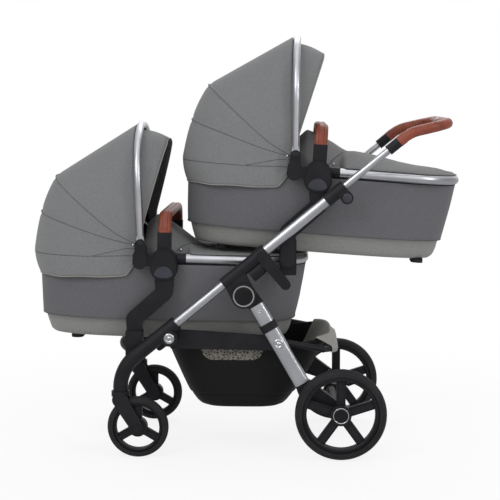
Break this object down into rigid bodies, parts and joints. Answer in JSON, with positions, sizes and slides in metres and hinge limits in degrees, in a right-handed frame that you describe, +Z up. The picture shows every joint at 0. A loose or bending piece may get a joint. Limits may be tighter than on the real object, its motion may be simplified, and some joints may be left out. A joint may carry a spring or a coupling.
{
  "type": "twin pram",
  "caption": "Tandem twin pram: folding tube chassis with swivel front wheels, a push handle, a basket and two hooded carrycots, one low in front and one high behind.",
  "frame": {"origin": "on the floor under the middle of the pram's box", "axes": "+X to the push handle, +Y to the far side of the picture, +Z up"},
  "size_m": [1.3937, 0.616, 1.3442],
  "materials": {
    "aluminium_satin": "satin anodised",
    "black_plastic": "moulded, fine grain",
    "bright_chrome": "polished",
    "axle_steel": "turned",
    "tan_leather": "smooth, stitched",
    "tyre_rubber": "matt",
    "foot_rubber": "matt",
    "hood_cloth": "woven, heathered",
    "body_cloth": "woven, heathered",
    "basket_cloth": "woven",
    "mattress_cloth": "knitted"
  },
  "bodies": {
    "chassis": {"main_tubes": "aluminium_satin", "hub_housings": "black_plastic", "hub_badges": "bright_chrome", "front_tubes": "aluminium_satin", "front_arms": "black_plastic", "front_crossbar": "black_plastic", "receivers": "black_plastic", "upper_adaptors": "black_plastic", "lower_adaptors": "black_plastic", "basket_rail": "black_plastic", "basket": "basket_cloth", "handle_collars": "black_plastic", "frame_rivets": "bright_chrome"},
    "lever_left": {"fold_lever_left": "black_plastic"},
    "lever_right": {"fold_lever_right": "black_plastic"},
    "rear_frame": {"rear_knuckles": "black_plastic", "rear_legs": "aluminium_satin", "axle_beam": "black_plastic", "rear_axle": "axle_steel"},
    "brake": {"brake_pedal": "black_plastic"},
    "handle": {"handle_tubes": "aluminium_satin", "handle_ferrules": "black_plastic", "handle_grip": "tan_leather"},
    "grip_button": {"handle_button": "aluminium_satin"},
    "rear_wheel_left": {"rear_rim_left": "black_plastic", "rear_tyre_left": "tyre_rubber"},
    "fork_left": {"front_fork_left": "black_plastic"},
    "front_wheel_left": {"front_rim_left": "black_plastic", "front_tyre_left": "tyre_rubber"},
    "rear_wheel_right": {"rear_rim_right": "black_plastic", "rear_tyre_right": "tyre_rubber"},
    "fork_right": {"front_fork_right": "black_plastic"},
    "front_wheel_right": {"front_rim_right": "black_plastic", "front_tyre_right": "tyre_rubber"},
    "lower_cot": {"lower_cot_shell": "body_cloth", "lower_cot_rim": "aluminium_satin", "lower_cot_apron": "hood_cloth", "lower_cot_mattress": "mattress_cloth", "lower_cot_feet": "foot_rubber", "lower_cot_joints": "black_plastic"},
    "lower_carry": {"lower_carry_handle": "black_plastic", "lower_carry_grip": "tan_leather"},
    "lower_hood": {"lower_hood_bow": "aluminium_satin", "lower_hood_canopy": "hood_cloth"},
    "lower_rib": {"lower_hood_rib": "aluminium_satin"},
    "lower_button_left": {"lower_cot_button_left": "black_plastic"},
    "lower_button_right": {"lower_cot_button_right": "black_plastic"},
    "upper_cot": {"upper_cot_shell": "body_cloth", "upper_cot_rim": "aluminium_satin", "upper_cot_apron": "hood_cloth", "upper_cot_mattress": "mattress_cloth", "upper_cot_feet": "foot_rubber", "upper_cot_joints": "black_plastic"},
    "upper_carry": {"upper_carry_handle": "black_plastic", "upper_carry_grip": "tan_leather"},
    "upper_hood": {"upper_hood_bow": "aluminium_satin", "upper_hood_canopy": "hood_cloth"},
    "upper_rib": {"upper_hood_rib": "aluminium_satin"},
    "upper_button_left": {"upper_cot_button_left": "black_plastic"},
    "upper_button_right": {"upper_cot_button_right": "black_plastic"}
  },
  "joints": [
    {"name": "chassis_fold", "type": "hinge", "parent": "chassis", "child": "rear_frame", "pos_m": [0.0047, 0, 0.5187], "axis": [0, 1, 0], "range_deg": [0, 45]},
    {"name": "brake_press", "type": "hinge", "parent": "rear_frame", "child": "brake", "pos_m": [0.285, 0, 0.172], "axis": [0, 1, 0], "range_deg": [0, 20]},
    {"name": "handle_height", "type": "slide", "parent": "chassis", "child": "handle", "axis": [0.7727, 0, 0.6347], "range_m": [-0.08, 0]},
    {"name": "grip_button_press", "type": "slide", "parent": "handle", "child": "grip_button", "axis": [0.8412, 0, -0.5407], "range_m": [0, 0.004], "stiffness_N_per_m": 600},
    {"name": "lever_pull_left", "type": "slide", "parent": "chassis", "child": "lever_left", "axis": [0.7727, 0, 0.6347], "range_m": [0, 0.025], "stiffness_N_per_m": 400},
    {"name": "rear_spin_left", "type": "hinge", "parent": "rear_frame", "child": "rear_wheel_left", "pos_m": [0.311, -0.285, 0.145], "axis": [0, 1, 0], "continuous": true},
    {"name": "swivel_left", "type": "hinge", "parent": "chassis", "child": "fork_left", "pos_m": [-0.387, -0.264, 0.23], "axis": [0, 0, 1], "continuous": true},
    {"name": "front_spin_left", "type": "hinge", "parent": "fork_left", "child": "front_wheel_left", "pos_m": [-0.332, -0.264, 0.0975], "axis": [0, 1, 0], "continuous": true},
    {"name": "lever_pull_right", "type": "slide", "parent": "chassis", "child": "lever_right", "axis": [0.7727, 0, 0.6347], "range_m": [0, 0.025], "stiffness_N_per_m": 400},
    {"name": "rear_spin_right", "type": "hinge", "parent": "rear_frame", "child": "rear_wheel_right", "pos_m": [0.311, 0.285, 0.145], "axis": [0, 1, 0], "continuous": true},
    {"name": "swivel_right", "type": "hinge", "parent": "chassis", "child": "fork_right", "pos_m": [-0.387, 0.264, 0.23], "axis": [0, 0, 1], "continuous": true},
    {"name": "front_spin_right", "type": "hinge", "parent": "fork_right", "child": "front_wheel_right", "pos_m": [-0.332, 0.264, 0.0975], "axis": [0, 1, 0], "continuous": true},
    {"name": "lower_cot_lift", "type": "slide", "parent": "chassis", "child": "lower_cot", "axis": [0, 0, 1], "range_m": [0, 0.06]},
    {"name": "lower_carry_pull", "type": "slide", "parent": "lower_cot", "child": "lower_carry", "axis": [0.0209, 0, 0.9998], "range_m": [0, 0.05]},
    {"name": "lower_hood_fold", "type": "hinge", "parent": "lower_cot", "child": "lower_hood", "pos_m": [-0.325, 0, 0.67558], "axis": [0, -1, 0], "range_deg": [0, 65], "deforming": ["lower_hood_canopy"]},
    {"name": "lower_rib_fold", "type": "hinge", "parent": "lower_cot", "child": "lower_rib", "pos_m": [-0.325, 0, 0.67558], "axis": [0, -1, 0], "range_deg": [0, 36]},
    {"name": "lower_button_press_left", "type": "slide", "parent": "lower_cot", "child": "lower_button_left", "axis": [0, 1, 0], "range_m": [0, 0.004], "stiffness_N_per_m": 600},
    {"name": "lower_button_press_right", "type": "slide", "parent": "lower_cot", "child": "lower_button_right", "axis": [0, -1, 0], "range_m": [0, 0.004], "stiffness_N_per_m": 600},
    {"name": "upper_cot_lift", "type": "slide", "parent": "chassis", "child": "upper_cot", "axis": [0, 0, 1], "range_m": [0, 0.06]},
    {"name": "upper_carry_pull", "type": "slide", "parent": "upper_cot", "child": "upper_carry", "axis": [0.0732, 0, 0.9973], "range_m": [0, 0.05]},
    {"name": "upper_hood_fold", "type": "hinge", "parent": "upper_cot", "child": "upper_hood", "pos_m": [0.16665, 0, 0.95844], "axis": [0, -1, 0], "range_deg": [0, 65], "deforming": ["upper_hood_canopy"]},
    {"name": "upper_rib_fold", "type": "hinge", "parent": "upper_cot", "child": "upper_rib", "pos_m": [0.16665, 0, 0.95844], "axis": [0, -1, 0], "range_deg": [0, 36]},
    {"name": "upper_button_press_left", "type": "slide", "parent": "upper_cot", "child": "upper_button_left", "axis": [0, 1, 0], "range_m": [0, 0.004], "stiffness_N_per_m": 600},
    {"name": "upper_button_press_right", "type": "slide", "parent": "upper_cot", "child": "upper_button_right", "axis": [0, -1, 0], "range_m": [0, 0.004], "stiffness_N_per_m": 600}
  ],
  "couplings": [
    {"joint": "lower_rib_fold", "follows": "lower_hood_fold", "ratio": 0.55},
    {"joint": "upper_rib_fold", "follows": "upper_hood_fold", "ratio": 0.55},
    {"joint": "lower_cot_lift", "follows": "upper_cot_lift", "ratio": 1}
  ]
}
